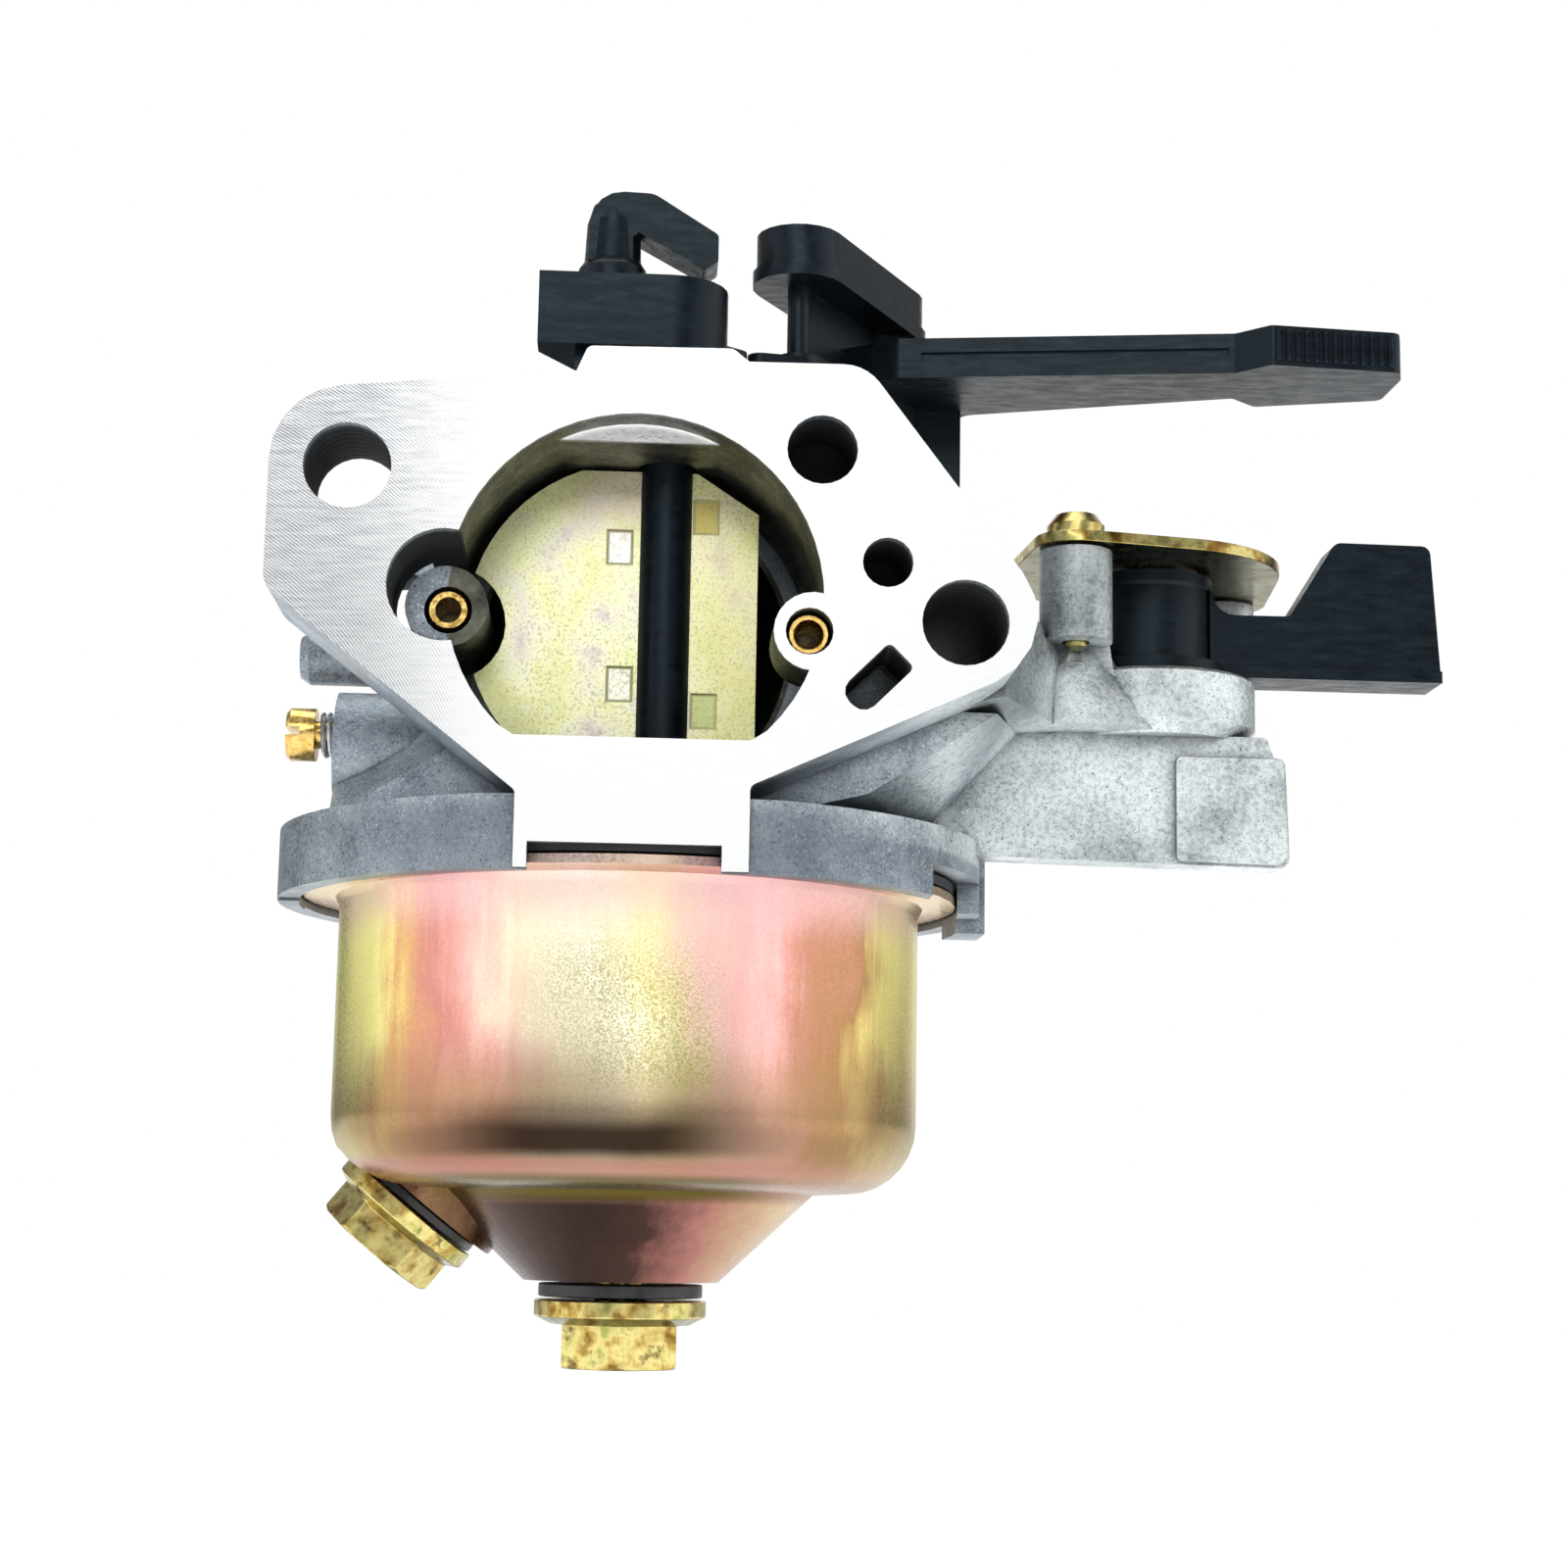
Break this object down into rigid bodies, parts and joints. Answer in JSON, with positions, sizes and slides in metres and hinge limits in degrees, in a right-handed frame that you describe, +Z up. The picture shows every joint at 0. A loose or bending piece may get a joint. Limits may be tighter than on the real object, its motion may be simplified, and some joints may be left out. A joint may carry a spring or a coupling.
{
  "type": "float-bowl carburetor",
  "caption": "Float-bowl carburetor for a small horizontal-shaft engine, with choke lever, throttle lever and built-in fuel tap.",
  "frame": {"origin": "centre of the choke bore on the air-cleaner face, where the engine's two studs hold the part up", "axes": "+X to the right as seen from the air cleaner, +Y down the bore towards the engine, +Z up; the float bowl hangs to -Z"},
  "size_m": [0.1263, 0.072, 0.1224],
  "materials": {
    "casting": "die-cast, with machined faces",
    "bowl_zinc": "iridescent yellow zinc plate on pressed steel",
    "bolt_zinc": "yellow zinc plate",
    "plate_zinc": "pale yellow zinc plate on stamped steel",
    "brass": "turned brass",
    "steel": "plain steel",
    "plastic": "satin black moulding",
    "gasket": "moulded rubber",
    "washer": "black fibre sealing washer",
    "float_plastic": "off-white moulding"
  },
  "bodies": {
    "carb_body": {"carburetor_body": "casting", "float_bowl": "bowl_zinc", "bowl_gasket": "gasket", "bowl_bolt_washer": "washer", "bowl_bolt": "bolt_zinc", "drain_washer": "washer", "drain_bolt": "bolt_zinc", "main_nozzle": "brass", "main_jet": "brass", "pilot_air_jet": "brass", "main_air_jet": "brass", "pilot_jet": "plastic", "float_pin": "steel", "throttle_seal": "gasket", "mixture_spring": "steel", "idle_spring": "steel", "valve_packing": "gasket", "valve_spring": "steel", "valve_plate": "bolt_zinc", "valve_screw_front": "bolt_zinc", "valve_screw_rear": "bolt_zinc", "fuel_inlet": "steel"},
    "choke_lever": {"choke_lever": "plastic"},
    "choke_valve": {"choke_shaft": "plastic", "choke_plate": "plate_zinc"},
    "throttle": {"throttle_shaft": "steel", "throttle_plate": "brass", "throttle_screw": "steel", "throttle_lever": "plastic"},
    "fuel_valve_lever": {"valve_lever": "plastic"},
    "float": {"float": "float_plastic"},
    "float_needle": {"float_needle": "steel"},
    "mixture_screw": {"mixture_screw": "brass"},
    "idle_screw": {"idle_screw": "bolt_zinc"}
  },
  "joints": [
    {"name": "choke_lever_pivot", "type": "hinge", "parent": "carb_body", "child": "choke_lever", "pos_m": [0.0165, 0.0196, 0], "axis": [0, 0, 1], "range_deg": [0, 64]},
    {"name": "choke_shaft_turn", "type": "hinge", "parent": "carb_body", "child": "choke_valve", "pos_m": [0.0029, 0.014, 0], "axis": [0, 0, 1], "range_deg": [-75, 0]},
    {"name": "throttle_shaft_turn", "type": "hinge", "parent": "carb_body", "child": "throttle", "pos_m": [0, 0.058, 0], "axis": [0, 0, 1], "range_deg": [0, 75]},
    {"name": "fuel_tap_turn", "type": "hinge", "parent": "carb_body", "child": "fuel_valve_lever", "pos_m": [0.0568, 0.034, 0], "axis": [0, 0, 1], "range_deg": [-90, 0]},
    {"name": "float_hinge", "type": "hinge", "parent": "carb_body", "child": "float", "pos_m": [0, 0.0622, -0.0276], "axis": [1, 0, 0], "range_deg": [-10, 0]},
    {"name": "needle_slide", "type": "slide", "parent": "carb_body", "child": "float_needle", "axis": [0, 0, 1], "range_m": [0, 0.0014]},
    {"name": "mixture_screw_turn", "type": "hinge", "parent": "carb_body", "child": "mixture_screw", "pos_m": [-0.036, 0.024, -0.0104], "axis": [1, 0, 0], "range_deg": [-180, 180]},
    {"name": "idle_screw_turn", "type": "hinge", "parent": "carb_body", "child": "idle_screw", "pos_m": [-0.0226, 0.0488, 0.0244], "axis": [1, 0, 0], "range_deg": [-180, 180]}
  ],
  "couplings": [
    {"joint": "choke_shaft_turn", "follows": "choke_lever_pivot", "ratio": -1.171},
    {"joint": "needle_slide", "follows": "float_hinge", "m_per_rad": -0.0077}
  ]
}
